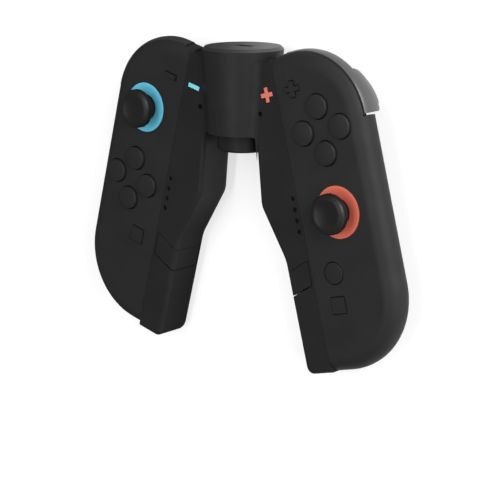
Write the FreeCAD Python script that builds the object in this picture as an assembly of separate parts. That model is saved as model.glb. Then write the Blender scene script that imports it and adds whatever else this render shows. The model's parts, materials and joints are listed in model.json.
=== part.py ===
"""Charging grip for two game controllers, with both controllers docked. Millimetres.

Everything is built upright first: X to the player's right, Y up along the hub, Z towards
the player, origin at the centre of the hub's top. A controller and the handle beside it
are drawn in the side frame, turned about the origin by the splay: x out from the hub,
y up along the controller. The left side is the mirror image of the right one. The
finished pieces are laid on their back at the end, as the object comes to rest.
"""
import FreeCAD
import Part
import math
import os

Vector = FreeCAD.Vector

# General fits
WALL = 1.8               # moulded wall
RUN_GAP = 0.35           # gap round a button or lever that moves
SEAT_GAP = 0.1           # gap round a piece that sits still
LEAD = 1.0               # how far a cut starts outside the face that it opens

# Controller case, in the side frame
SPLAY = 14.7             # lean of each side away from the hub, degrees
SEAM = 17.95             # inner side of the controller, from the hub axis
SIDE_TOP = -6.8          # top edge of the controller
WIDTH = 35.05
HEIGHT = 116.6
THICK = 13.2
FACE_Z = 7.7             # front face, ahead of the hub axis
TOP_ROUND = 26.5         # outer top corner
BOTTOM_ROUND = 28.5      # outer bottom corner
FACE_EDGE = 5.6          # rounding of the front edge
INNER_EDGE = 2.6         # the same edge inside the wall
BACK_EDGE = 7.0          # rounding of the back edge
FRONT_DEPTH = 2.8        # depth of the front case half

# Controller controls, in the side frame
CLUSTER_X = 35.1         # stick and button diamond, one above the other
UPPER_Y = -36.2
LOWER_Y = -65.8
BUTTON_PITCH = 8.4       # from the middle of the diamond
BUTTON_R = 4.4
BUTTON_RISE = 1.5
BUTTON_TRAVEL = 1.0
BUTTON_EDGE = 0.5        # rounding of a round button's rim
BUTTON_CROWN = 0.35      # height of its dome
FLANGE = 0.8             # width of the rim that keeps a button in
FLANGE_THICK = 1.0
STEM_R = 1.8             # plunger under a button
MENU_X = 25.4
MENU_Y = -19.9
MENU_SIZE = 5.7
MENU_ARM = 1.7
MENU_RISE = 0.8
SQUARE_X = 27.5
SQUARE_LEFT_Y = -87.2
SQUARE_RIGHT_Y = -98.9
SQUARE_SIZE = 5.9
SQUARE_RISE = 0.3
ROUND_X = 28.0
ROUND_Y = -87.2
ROUND_R = 3.95
ROUND_RISE = 0.3
ROUND_EDGE = 0.2
ROUND_CROWN = 0.08
SMALL_TRAVEL = 0.7

# Thumb stick, heights above the point that it tilts about
PIVOT_DEPTH = 6.0        # tilt point below the face
RING_R = 9.5
RING_INNER_R = 5.0
RING_RISE = 0.2
RING_LIP = 1.2           # depth of the lip round the opening
RING_THICK = 2.8
RING_BEVEL = 3.6         # width of the slope towards the stick
RING_FALL = 0.6          # depth of that slope
CAP_R = 7.4
CAP_RISE = 3.5           # underside of the cap above the face
CAP_THICK = 3.6
CAP_FOOT = 0.5           # rounding of its lower edge
CAP_SHOULDER = 1.8       # rounding of its upper edge
CAP_RIM = 0.4            # flat between that rounding and the dish
CAP_DISH = 1.0           # depth of the dish
STICK_TILT = 15.0        # degrees each way
NECK_R = 2.3
DOME_R = 6.7
DOME_THICK = 0.6
DOME_SPARE = 3.0         # degrees of dome left under the ring at full tilt
SHANK_R = 1.8
BALL_R = 2.6
YOKE_R = 4.5
YOKE_BORE_R = 3.1
YOKE_HALF = 1.2
PIN_R = 0.8
PIN_GAP = 0.15
POST_IN = 4.8
POST_OUT = 5.6
POST_HALF = 1.4
POST_TOP = 1.3
BASE_R = 8.6
BASE_THICK = 1.5

# Shoulder button and trigger, round the outer top corner
SHOULDER_DEPTH = 4.4     # along Z
SHOULDER_WALL = 3.6
SHOULDER_TRAVEL = 0.8
SHOULDER_START = -2.4    # degrees from the lower end of the corner
SHOULDER_SWEEP = 101.9
SHOULDER_PROUD = 0.4     # how far it stands out of the case
TRIGGER_BACK = 6.7       # how far it stands behind the controller's back
TRIGGER_INSET = 1.0      # upper edge, in from the case
TRIGGER_SLOPE = 3.9      # how far it falls back to its lower bend
TRIGGER_BEND = 1.5       # height of that bend above its back
TRIGGER_BULGE = 1.0      # how far its outer side bows out
TRIGGER_WALL = 5.4
TRIGGER_TOE = 3.6        # hook that reaches in behind the back
TRIGGER_TRAVEL = 1.5
TRIGGER_START = -0.4     # degrees from the lower end of the corner
TRIGGER_SWEEP = 40.4
TRIGGER_LOW_ROUND = 6.5  # back corner at that end
TRIGGER_HIGH_ROUND = 7.0  # back corner at the other end

# Controller inside
BOARD_THICK = 0.8
BOARD_INSET = 9.0
BOARD_LIFT = 0.4         # standoff above the back wall
BOARD_CORNER = 1.0       # corners of the board and of the battery
BOARD_TAIL = 12.0        # width of the strip that runs down beside the battery
BOARD_SHOULDER_Y = -76.0
STANDOFF_R = 1.6
STANDOFF_INSET = 4.0     # from the board's edge
BATTERY_WIDTH = 9.4
BATTERY_HEIGHT = 27.0
BATTERY_THICK = 6.0
DOCK_PLATE = 1.8         # thickness
DOCK_MARGIN_Y = 6.0
DOCK_SILL = 1.5          # case left under the plate

# Dock connector
DOCK_Y = -52.0           # middle of the connector
DOCK_LENGTH = 24.0
DOCK_Z = 0.6
DOCK_THICK = 3.0
DOCK_REACH = 4.2         # beyond the grip's side
DOCK_ROOT = 4.0          # inside the grip's wall
DOCK_GAP = 0.4
DOCK_CUP = 0.8           # wall of the cup that takes it

# Grip
SEAM_GAP = 0.12          # between grip and controller
HUB_R = 15.2             # under the cap
HUB_FOOT_R = 13.4
HUB_FOOT_Y = -32.2
HUB_BORE_R = 11.6
CAP_BEVEL = 1.1
SPIGOT_DEPTH = 2.0
NECK_FOOT_Y = -38.8
PLUG_R = 9.7
PLUG_WALL = 2.0
PLUG_FLANGE = 1.5
PLUG_BEVEL = 0.8
GRIP_BACK_Z = -10.0
GRIP_WALL = 2.0
STRIP_DROP = 1.1         # tops of the strips below the controllers' tops
STRIP_LINING = 1.3       # more wall under the tops of the strips
HANDLE_IN = 6.3          # inner side of a handle, in the side frame
KNEE_Y = -80.5           # where the arch runs into the handle, in the side frame
POCKET_X = 14.8          # lower end of the upright walls under the hub
POCKET_Y = -57.4
POCKET_ROUND = 8.0
KNEE_ROUND = 15.0
HANDLE_CORNER = 3.0
ARCH_CORNER = 1.0
ARCH_TOP_X = 12.4
GRIP_FACE_EDGE = 1.6
GRIP_BACK_EDGE = 5.0     # rounding of the back, towards the arch
GRIP_SEAM_EDGE = 2.0     # rounding of the back, along the seam
HUB_BLEND = 6.5          # hollow rounding where the hub runs into the strips
BLEND_FADE = 8.0         # curve on which it fades out at the back, towards their tops
FADE_TURN = 60.0         # degrees of that curve

# Charging port and board in the hub
PORT_WIDTH = 9.0
PORT_HEIGHT = 3.3
PORT_DEPTH = 7.4
PORT_SHELL = 0.5
PORT_FLAT = 0.1          # flat left in the middle of each round end
PORT_FLOOR = 1.0
TONGUE_WIDTH = 6.4
TONGUE_THICK = 0.7
TONGUE_SINK = 1.2        # below the mouth of the port
PORT_SINK = 0.4          # below the top of the cap
CHARGE_BOARD_THICK = 1.2

# Marks and lights on the strips
MARK_X = 13.15
MARK_Y = -20.0
MARK_SIZE = 5.5
MARK_ARM = 1.6
MARK_DEPTH = 0.8
SENSOR_X = 8.3
SENSOR_Y = -26.2
SENSOR_R = 0.95
LIGHT_X = 15.9
LIGHT_Y = -58.5
LIGHT_STEP = 4.1
LIGHT_COUNT = 4
LIGHT_R = 0.8
LIGHT_SINK = 0.4         # dots below the face
LIGHT_BAR = 1.4
LIGHT_MARGIN = 1.0       # bar past the outer dots

# Squeeze paddles on the handles
PADDLE_TOP_OUT = -81.3   # heights of the two slits, at the seam end and at the inner side
PADDLE_TOP_IN = -85.2
PADDLE_LOW_OUT = -90.9
PADDLE_LOW_IN = -94.2
PADDLE_END = 17.1        # seam end
PADDLE_LOW_Z = -6.0
PADDLE_SWING = 3.0       # degrees
PADDLE_PIN_R = 0.55
PADDLE_PIN_REACH = 1.2
PADDLE_PIN_INSET = 0.3   # from the paddle's seam end
SWITCH_SIZE = 5.0
SWITCH_INSET = 1.4       # from the wall of the paddle
SWITCH_GAP = 0.25        # left under the squeezed paddle

# Magnets and screws of the grip
MAGNET_LENGTH = 8.0
MAGNET_HEIGHT = 7.0
MAGNET_THICK = 2.5
MAGNET_YS = (-27.0, -75.0)
SCREW_SEATS = ((10.6, -42.0), (11.8, -110.0))
SCREW_R = 1.1
SCREW_HEAD_R = 2.1
SCREW_HEAD = 1.4
SCREW_SINK = 1.0
SCREW_LENGTH = 9.0
BOSS_R = 2.9

# Worked out from the sizes above
BACK_Z = FACE_Z - THICK
SIDE_LOW = SIDE_TOP - HEIGHT
OUTER = SEAM + WIDTH
SPLIT_Z = FACE_Z - FRONT_DEPTH
DOCK_LOW = BACK_Z + DOCK_SILL
FACE_UNDER = FACE_Z - WALL
FLOOR_Z = BACK_Z + WALL
BOARD_Z = FLOOR_Z + BOARD_LIFT
BOARD_TOP = BOARD_Z + BOARD_THICK
PIVOT_Z = FACE_Z - PIVOT_DEPTH
CORNER_X = OUTER - TOP_ROUND
CORNER_Y = SIDE_TOP - TOP_ROUND
SHOULDER_Z = SPLIT_Z - RUN_GAP - SHOULDER_DEPTH
TRIGGER_Z = SHOULDER_Z - RUN_GAP
TRIGGER_LOW = BACK_Z - TRIGGER_BACK
GRIP_SIDE = SEAM - SEAM_GAP
STRIP_TOP = SIDE_TOP - STRIP_DROP
GRIP_FLOOR = GRIP_BACK_Z + GRIP_WALL
GRIP_UNDER = FACE_Z - GRIP_WALL
PADDLE_PIN_X = PADDLE_END - RUN_GAP - PADDLE_PIN_R - PADDLE_PIN_INSET
PADDLE_PIN_Z = FACE_Z - GRIP_WALL / 2
PADDLE_SINE = math.sin(math.radians(PADDLE_SWING))
DOME_OPENING = math.degrees(math.asin(RING_INNER_R / DOME_R)) + STICK_TILT + DOME_SPARE
BIG = 300.0              # past everything

os.makedirs("parts", exist_ok=True)


def box(x0, x1, y0, y1, z0, z1):
    """Block between two corners."""
    return Part.makeBox(x1 - x0, y1 - y0, z1 - z0, Vector(x0, y0, z0))


def rod(x, y, z0, z1, radius):
    """Cylinder along Z."""
    return Part.makeCylinder(radius, z1 - z0, Vector(x, y, z0))


def rounded_wire(corners, z):
    """Closed outline through (x, y, radius) corners, each one rounded to its radius."""
    spots = [Vector(x, y, z) for x, y, radius in corners]
    bends = []
    for index, here in enumerate(spots):
        radius = corners[index][2]
        back = (spots[index - 1] - here).normalize()
        ahead = (spots[(index + 1) % len(spots)] - here).normalize()
        half = back.getAngle(ahead) / 2
        inward = (back + ahead).normalize()
        start = here + back * (radius / math.tan(half))
        stop = here + ahead * (radius / math.tan(half))
        middle = here + inward * (radius / math.sin(half) - radius)
        bends.append((start, middle, stop, radius))
    edges = []
    for index, (start, middle, stop, radius) in enumerate(bends):
        if radius > 0:
            edges.append(Part.Arc(start, middle, stop).toShape())
        edges.append(Part.makeLine(stop, bends[(index + 1) % len(bends)][0]))
    return Part.Wire(edges)


def prism(corners, z0, z1):
    """Upright block with a rounded outline."""
    return Part.Face(rounded_wire(corners, z0)).extrude(Vector(0, 0, z1 - z0))


def level_edges(shape, z):
    """Edges that lie in the plane at height z."""
    return [edge for edge in shape.Edges if all(abs(v.Z - z) < 1e-4 for v in edge.Vertexes)]


def ring_profile(points, arcs=()):
    """Face in the XZ plane from (r, z) points; arcs maps a point's index to the middle of its arc."""
    middles = dict(arcs)
    edges = []
    for index, (r, z) in enumerate(points):
        start = Vector(r, 0, z)
        stop = Vector(points[(index + 1) % len(points)][0], 0, points[(index + 1) % len(points)][1])
        if index in middles:
            via = Vector(middles[index][0], 0, middles[index][1])
            edges.append(Part.Arc(start, via, stop).toShape())
        else:
            edges.append(Part.makeLine(start, stop))
    return Part.Face(Part.Wire(edges))


def turned(points, arcs=(), x=0.0, y=0.0, z=0.0):
    """Solid turned about the vertical through (x, y), from an (r, z) profile."""
    solid = ring_profile(points, arcs).revolve(Vector(0, 0, 0), Vector(0, 0, 1), 360)
    solid.translate(Vector(x, y, z))
    return solid


def sag(reach, depth, r):
    """Fall at radius r of a shallow dome that falls by depth at its full reach."""
    radius = (reach ** 2 + depth ** 2) / (2 * depth)
    return radius - math.sqrt(radius ** 2 - r ** 2)


def rounding(radius):
    """How far the middle of a rounded square corner lies in from both of its sides."""
    return radius * (1 - math.sqrt(0.5))


def on_dome(radius, degrees):
    """Point of a dome's section, at an angle from its axis."""
    return (radius * math.sin(math.radians(degrees)), radius * math.cos(math.radians(degrees)))


# Controller

def case_corners(inset, inner):
    """Outline of the controller, drawn in by an inset, with its dock side at inner."""
    return [
        (inner, SIDE_TOP - inset, 0),
        (inner, SIDE_LOW + inset, 0),
        (OUTER - inset, SIDE_LOW + inset, BOTTOM_ROUND - inset),
        (OUTER - inset, SIDE_TOP - inset, TOP_ROUND - inset),
    ]


def case_block(inset, inner, edge):
    """Closed body of the controller with rounded front and back edges."""
    low = BACK_Z + inset
    high = FACE_Z - inset
    block = prism(case_corners(inset, inner), low, high)
    for z, radius in ((low, BACK_EDGE - inset), (high, edge)):
        rim = [e for e in level_edges(block, z) if any(v.X > inner + 1e-4 for v in e.Vertexes)]
        block = block.makeFillet(radius, rim)
    return block


def corner_sector(r0, r1, z0, z1, start, sweep):
    """Part of a ring round the outer top corner; degrees run up from the outer side."""
    profile = ring_profile([(r0, z0), (r1, z0), (r1, z1), (r0, z1)])
    sector = profile.revolve(Vector(0, 0, 0), Vector(0, 0, 1), sweep)
    sector.rotate(Vector(0, 0, 0), Vector(0, 0, 1), start)
    sector.translate(Vector(CORNER_X, CORNER_Y, 0))
    return sector


def end_gap(travel, sweep):
    """Angle left free at each end of a button that slides in along the middle of its sweep."""
    slip = travel * math.sin(math.radians(sweep / 2))
    return math.degrees((slip + RUN_GAP) / TOP_ROUND)


def make_shoulder():
    """Band round the outer top corner that follows the case and stands out of it a little."""
    block = case_block(-SHOULDER_PROUD, SEAM, FACE_EDGE + SHOULDER_PROUD)
    spare = end_gap(SHOULDER_TRAVEL, SHOULDER_SWEEP)
    ring = corner_sector(TOP_ROUND - SHOULDER_WALL, TOP_ROUND + LEAD, SHOULDER_Z,
                         SHOULDER_Z + SHOULDER_DEPTH, SHOULDER_START + spare, SHOULDER_SWEEP - 2 * spare)
    return ring.common(block)


def trigger_section():
    """Section of the trigger: straight inside the case, falling back outside, hooked behind the back."""
    root = TOP_ROUND - TRIGGER_WALL
    tip = TOP_ROUND - TRIGGER_INSET
    bend = tip - TRIGGER_SLOPE
    toe = root - TRIGGER_TOE
    low = TRIGGER_LOW
    heel = BACK_Z - RUN_GAP
    knee = low + TRIGGER_BEND
    turn = rounding(TRIGGER_BEND)
    points = [(root, TRIGGER_Z), (tip, TRIGGER_Z), (bend, knee), (bend - TRIGGER_BEND, low),
              (toe + TRIGGER_BEND, low), (toe, knee), (toe, heel), (root, heel)]
    arcs = {
        1: ((tip + bend) / 2 + TRIGGER_BULGE, (TRIGGER_Z + knee) / 2),
        2: (bend - turn, low + turn),
        4: (toe + turn, low + turn),
    }
    return points, arcs


def trigger_end(angle, turn, radius):
    """What lies outside the rounded back corner of the trigger at one end; turn is 1 or -1, the way out."""
    ends = sorted((-turn * radius, turn * LEAD))
    bar = box(LEAD, BIG, ends[0], ends[1], TRIGGER_LOW - LEAD, TRIGGER_LOW + radius)
    pin = Part.makeCylinder(radius, BIG, Vector(0, -turn * radius, TRIGGER_LOW + radius), Vector(1, 0, 0))
    waste = bar.cut(pin)
    waste.rotate(Vector(0, 0, 0), Vector(0, 0, 1), angle)
    return waste


def make_trigger():
    """Lever under the shoulder button, swept round the corner and rounded at its two back corners."""
    points, arcs = trigger_section()
    solid = ring_profile(points, arcs).revolve(Vector(0, 0, 0), Vector(0, 0, 1), TRIGGER_SWEEP)
    solid.rotate(Vector(0, 0, 0), Vector(0, 0, 1), TRIGGER_START)
    solid = solid.cut([trigger_end(TRIGGER_START, -1, TRIGGER_LOW_ROUND),
                       trigger_end(TRIGGER_START + TRIGGER_SWEEP, 1, TRIGGER_HIGH_ROUND)])
    solid.translate(Vector(CORNER_X, CORNER_Y, 0))
    return solid


def corner_pockets():
    """Room in the back case half for the shoulder button, the trigger and their travel."""
    shoulder = corner_sector(TOP_ROUND - SHOULDER_WALL - SHOULDER_TRAVEL - RUN_GAP, TOP_ROUND + BACK_EDGE,
                             TRIGGER_Z, SPLIT_Z + LEAD, SHOULDER_START, SHOULDER_SWEEP)
    spare = end_gap(TRIGGER_TRAVEL, TRIGGER_SWEEP)
    trigger = corner_sector(TOP_ROUND - TRIGGER_WALL - TRIGGER_TRAVEL - RUN_GAP, TOP_ROUND + BACK_EDGE,
                            BACK_Z - LEAD, TRIGGER_Z + RUN_GAP, TRIGGER_START - spare,
                            TRIGGER_SWEEP + 2 * spare)
    return shoulder.fuse(trigger)


def cross_outline(size, arm, x, y, upright):
    """Bar of the given size and arm width, with a second one across it where upright is true."""
    half = size / 2
    thin = arm / 2
    flat = [(x - half, y - thin), (x + half, y - thin), (x + half, y + thin), (x - half, y + thin)]
    if not upright:
        return flat
    return [
        (x - half, y - thin), (x - thin, y - thin), (x - thin, y - half), (x + thin, y - half),
        (x + thin, y - thin), (x + half, y - thin), (x + half, y + thin), (x + thin, y + thin),
        (x + thin, y + half), (x - thin, y + half), (x - thin, y + thin), (x - half, y + thin),
    ]


def sharp(points, grow=0.0):
    """Outline with sharp corners, from (x, y) points; grow widens it all round."""
    face = Part.Face(rounded_wire([(x, y, 0) for x, y in points], 0))
    return face if grow == 0 else face.makeOffset2D(grow, join=2)


def raised(face, z0, z1):
    """Block on a flat outline drawn at height zero."""
    solid = face.extrude(Vector(0, 0, z1 - z0))
    solid.translate(Vector(0, 0, z0))
    return solid


def round_button(x, y, radius, rise, travel, edge, crown):
    """Round button with a crowned top, a rim under the face and a plunger."""
    top = FACE_Z + rise
    rim = FACE_UNDER - SEAT_GAP
    foot = BOARD_TOP + travel + SEAT_GAP
    brim = top - crown
    shade = rounding(edge)
    points = [
        (0, foot), (STEM_R, foot), (STEM_R, rim - FLANGE_THICK), (radius + FLANGE, rim - FLANGE_THICK),
        (radius + FLANGE, rim), (radius, rim), (radius, brim - edge), (radius - edge, brim), (0, top),
    ]
    half = (radius - edge) / 2
    arcs = {6: (radius - shade, brim - shade), 7: (half, top - sag(2 * half, crown, half))}
    return turned(points, arcs, x, y)


def shaped_button(face, x, y, rise, travel):
    """Button with a drawn outline, a rim under the face and a plunger."""
    rim = FACE_UNDER - SEAT_GAP
    foot = BOARD_TOP + travel + SEAT_GAP
    head = raised(face, rim, FACE_Z + rise)
    flange = raised(face.makeOffset2D(FLANGE), rim - FLANGE_THICK, rim)
    plunger = rod(x, y, foot, rim - FLANGE_THICK, STEM_R)
    return head.fuse([flange, plunger]).removeSplitter()


def stick_solid():
    """Cap, neck, dust dome, shank and cross pin of the thumb stick, about its tilt point."""
    under = PIVOT_DEPTH + CAP_RISE
    top = under + CAP_THICK
    neck_foot = math.sqrt(DOME_R ** 2 - NECK_R ** 2)
    inner = DOME_R - DOME_THICK
    shank_top = math.sqrt(inner ** 2 - SHANK_R ** 2)
    ball_top = math.sqrt(BALL_R ** 2 - SHANK_R ** 2)
    neck_angle = math.degrees(math.asin(NECK_R / DOME_R))
    half_way = (DOME_OPENING + neck_angle) / 2
    shoulder = rounding(CAP_SHOULDER)
    foot = rounding(CAP_FOOT)
    dish = CAP_R - CAP_SHOULDER - CAP_RIM
    points = [
        (0, top - CAP_DISH),
        (dish, top),
        (CAP_R - CAP_SHOULDER, top),
        (CAP_R, top - CAP_SHOULDER),
        (CAP_R, under + CAP_FOOT),
        (CAP_R - CAP_FOOT, under),
        (NECK_R, under),
        (NECK_R, neck_foot),
        on_dome(DOME_R, DOME_OPENING),
        on_dome(inner, DOME_OPENING),
        (SHANK_R, shank_top),
        (SHANK_R, ball_top),
        (0, -BALL_R),
    ]
    arcs = {
        0: (dish / 2, top - CAP_DISH + sag(dish, CAP_DISH, dish / 2)),
        2: (CAP_R - shoulder, top - shoulder),
        4: (CAP_R - foot, under + foot),
        7: on_dome(DOME_R, half_way),
        9: on_dome(inner, half_way),
        11: (BALL_R, 0),
    }
    pin = Part.makeCylinder(PIN_R, 2 * YOKE_R, Vector(0, -YOKE_R, 0), Vector(0, 1, 0))
    return turned(points, arcs).fuse(pin)


def yoke_solid():
    """Ring that carries the stick's cross pin and turns on its own pins along x."""
    ring = turned([(YOKE_BORE_R, -YOKE_HALF), (YOKE_R, -YOKE_HALF),
                   (YOKE_R, YOKE_HALF), (YOKE_BORE_R, YOKE_HALF)])
    across = Part.makeCylinder(PIN_R + PIN_GAP, 4 * YOKE_R, Vector(0, -2 * YOKE_R, 0), Vector(0, 1, 0))
    pins = Part.makeCylinder(PIN_R, 2 * POST_OUT, Vector(-POST_OUT, 0, 0), Vector(1, 0, 0))
    bore = rod(0, 0, -YOKE_HALF, YOKE_HALF, YOKE_BORE_R)
    return ring.fuse(pins.cut(bore)).cut(across)


def base_solid():
    """Stick base: a ring on the board with two posts that hold the yoke's pins."""
    foot = BOARD_TOP - PIVOT_Z
    disc = rod(0, 0, foot, foot + BASE_THICK, BASE_R)
    posts = [box(x0, x1, -POST_HALF, POST_HALF, foot + BASE_THICK, POST_TOP)
             for x0, x1 in ((-POST_OUT, -POST_IN), (POST_IN, POST_OUT))]
    holes = Part.makeCylinder(PIN_R + PIN_GAP, 4 * POST_OUT, Vector(-2 * POST_OUT, 0, 0), Vector(1, 0, 0))
    return disc.fuse(posts).cut(holes.fuse(rod(0, 0, foot, 0, YOKE_BORE_R)))


def ring_solid():
    """Coloured ring round the stick, set into the face, with a lip that clears the dome."""
    top = FACE_Z + RING_RISE
    low = top - RING_THICK
    rim = FACE_UNDER - SEAT_GAP
    slant = RING_THICK - RING_LIP
    points = [
        (RING_INNER_R + slant, low), (RING_R + FLANGE, low), (RING_R + FLANGE, rim), (RING_R, rim),
        (RING_R, top), (RING_INNER_R + RING_BEVEL, top), (RING_INNER_R, top - RING_FALL),
        (RING_INNER_R, top - RING_LIP),
    ]
    return turned(points)


def board_face():
    """Circuit board: full width behind the clusters, a strip beside the battery below."""
    inner = SEAM + DOCK_REACH + DOCK_GAP + DOCK_CUP + RUN_GAP
    far = OUTER - BOARD_INSET
    tail = SEAM + DOCK_PLATE + BOARD_TAIL
    return [
        (inner, SIDE_TOP - BOARD_INSET, BOARD_CORNER),
        (inner, SIDE_LOW + BOARD_INSET, BOARD_CORNER),
        (tail, SIDE_LOW + BOARD_INSET, BOARD_CORNER),
        (tail, BOARD_SHOULDER_Y, BOARD_CORNER),
        (far, BOARD_SHOULDER_Y, BOARD_CORNER),
        (far, SIDE_TOP - BOARD_INSET, TOP_ROUND - BOARD_INSET),
    ]


def dock_plate():
    """Flat side of the controller with the cup that takes the grip's connector."""
    high = SIDE_TOP - DOCK_MARGIN_Y - SEAT_GAP
    low = SIDE_LOW + DOCK_MARGIN_Y + SEAT_GAP
    plate = box(SEAM, SEAM + DOCK_PLATE, low, high, DOCK_LOW + SEAT_GAP, SPLIT_Z - SEAT_GAP)
    half = DOCK_LENGTH / 2 + DOCK_GAP
    tall = DOCK_THICK / 2 + DOCK_GAP
    depth = SEAM + DOCK_REACH + DOCK_GAP
    cup = box(SEAM, depth + DOCK_CUP, DOCK_Y - half - DOCK_CUP, DOCK_Y + half + DOCK_CUP,
              DOCK_Z - tall - DOCK_CUP, DOCK_Z + tall + DOCK_CUP)
    room = box(SEAM - LEAD, depth, DOCK_Y - half, DOCK_Y + half, DOCK_Z - tall, DOCK_Z + tall)
    return plate.fuse(cup).cut(room)


def diamond(y):
    """Places of the four face buttons: top, outer, bottom, inner."""
    return {
        "top": (CLUSTER_X, y + BUTTON_PITCH),
        "outer": (CLUSTER_X + BUTTON_PITCH, y),
        "bottom": (CLUSTER_X, y - BUTTON_PITCH),
        "inner": (CLUSTER_X - BUTTON_PITCH, y),
    }


def make_controller(side):
    """All pieces of one controller in the side frame, as a dictionary of name to solid."""
    right = side == "right"
    stick_y = LOWER_Y if right else UPPER_Y
    diamond_y = UPPER_Y if right else LOWER_Y
    square_y = SQUARE_RIGHT_Y if right else SQUARE_LEFT_Y
    block = case_block(0, SEAM, FACE_EDGE)
    shell = block.cut(case_block(WALL, SEAM + WALL, INNER_EDGE))
    front = shell.common(box(0, BIG, -BIG, BIG, SPLIT_Z, BIG))
    back = shell.common(box(0, BIG, -BIG, BIG, -BIG, SPLIT_Z))
    window = box(SEAM - LEAD, SEAM + WALL + LEAD, SIDE_LOW + DOCK_MARGIN_Y, SIDE_TOP - DOCK_MARGIN_Y,
                 DOCK_LOW, BIG)
    back = back.cut(window.fuse(corner_pockets()))

    pieces = {}
    holes = [rod(CLUSTER_X, stick_y, 0, BIG, RING_R + SEAT_GAP)]
    for name, (x, y) in diamond(diamond_y).items():
        pieces[name + "_button"] = round_button(x, y, BUTTON_R, BUTTON_RISE, BUTTON_TRAVEL,
                                                BUTTON_EDGE, BUTTON_CROWN)
        holes.append(rod(x, y, 0, BIG, BUTTON_R + RUN_GAP))
    menu = sharp(cross_outline(MENU_SIZE, MENU_ARM, MENU_X, MENU_Y, right))
    pieces["menu_button"] = shaped_button(menu, MENU_X, MENU_Y, MENU_RISE, SMALL_TRAVEL)
    holes.append(raised(menu.makeOffset2D(RUN_GAP, join=2), 0, BIG))
    half = SQUARE_SIZE / 2
    square = sharp([(SQUARE_X - half, square_y - half), (SQUARE_X + half, square_y - half),
                    (SQUARE_X + half, square_y + half), (SQUARE_X - half, square_y + half)])
    pieces["square_button"] = shaped_button(square, SQUARE_X, square_y, SQUARE_RISE, SMALL_TRAVEL)
    holes.append(raised(square.makeOffset2D(RUN_GAP, join=2), 0, BIG))
    if right:
        pieces["round_button"] = round_button(ROUND_X, ROUND_Y, ROUND_R, ROUND_RISE, SMALL_TRAVEL,
                                              ROUND_EDGE, ROUND_CROWN)
        holes.append(rod(ROUND_X, ROUND_Y, 0, BIG, ROUND_R + RUN_GAP))
    pieces["front_case"] = front.cut(Part.makeCompound(holes))

    standoffs = [rod(x, y, FLOOR_Z, BOARD_Z, STANDOFF_R)
                 for x in (SEAM + DOCK_PLATE + BOARD_TAIL - STANDOFF_INSET,
                           OUTER - BOARD_INSET - STANDOFF_INSET)
                 for y in (UPPER_Y, LOWER_Y)]
    pieces["back_case"] = back.fuse(standoffs)
    pieces["dock_plate"] = dock_plate()
    pieces["shoulder"] = make_shoulder()
    pieces["trigger"] = make_trigger()
    pieces["board"] = prism(board_face(), BOARD_Z, BOARD_TOP)
    battery_x = SEAM + DOCK_PLATE + BOARD_TAIL + 2 * SEAT_GAP
    battery_top = BOARD_SHOULDER_Y - 2 * SEAT_GAP
    battery_far = battery_x + BATTERY_WIDTH
    battery_low = battery_top - BATTERY_HEIGHT
    cell = [(x, y, BOARD_CORNER) for x, y in ((battery_x, battery_top), (battery_x, battery_low),
                                              (battery_far, battery_low), (battery_far, battery_top))]
    pieces["battery"] = prism(cell, FLOOR_Z, FLOOR_Z + BATTERY_THICK)
    for name, solid in (("stick", stick_solid()), ("stick_yoke", yoke_solid()), ("stick_base", base_solid())):
        solid.translate(Vector(CLUSTER_X, stick_y, PIVOT_Z))
        pieces[name] = solid
    ring = ring_solid()
    ring.translate(Vector(CLUSTER_X, stick_y, 0))
    pieces["stick_ring"] = ring
    return pieces


# Grip

def out(x, y):
    """Point of the right side frame as upright X, Y."""
    lean = math.radians(SPLAY)
    return (x * math.cos(lean) - y * math.sin(lean), x * math.sin(lean) + y * math.cos(lean))


def to_side(shape, side):
    """Right side frame piece as an upright piece of the right or left side."""
    placed = shape.copy()
    placed.rotate(Vector(0, 0, 0), Vector(0, 0, 1), SPLAY)
    if side == "left":
        placed = placed.mirror(Vector(0, 0, 0), Vector(1, 0, 0))
    return placed


def both_sides(shape):
    """Right side frame piece with its mirror image, for a cut or a join."""
    return [to_side(shape, "right"), to_side(shape, "left")]


def plate_corners(top):
    """A-shaped outline of the grip: strips beside the hub up to top, arch under it, two handles."""
    dip = (0, top / math.cos(math.radians(SPLAY)), 0)
    half = [
        out(GRIP_SIDE, top) + (0,),
        out(GRIP_SIDE, SIDE_LOW) + (0,),
        out(HANDLE_IN, SIDE_LOW) + (HANDLE_CORNER,),
        out(HANDLE_IN, KNEE_Y) + (KNEE_ROUND,),
        (POCKET_X, POCKET_Y, POCKET_ROUND),
        (ARCH_TOP_X, HUB_FOOT_Y, ARCH_CORNER),
    ]
    mirrored = [(-x, y, radius) for x, y, radius in reversed(half)]
    return [dip] + half + mirrored


def on_seam(edge):
    """True for an edge of the plate that runs along a controller."""
    lean = math.radians(SPLAY)
    reach = [abs(v.X) * math.cos(lean) + v.Y * math.sin(lean) for v in edge.Vertexes]
    return all(abs(x - GRIP_SIDE) < 1e-3 for x in reach)


def on_top(edge):
    """True for an edge of the plate along the top of a strip."""
    lean = math.radians(SPLAY)
    heights = [v.Y * math.cos(lean) - abs(v.X) * math.sin(lean) for v in edge.Vertexes]
    return all(abs(y - STRIP_TOP) < 1e-3 for y in heights)


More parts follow.
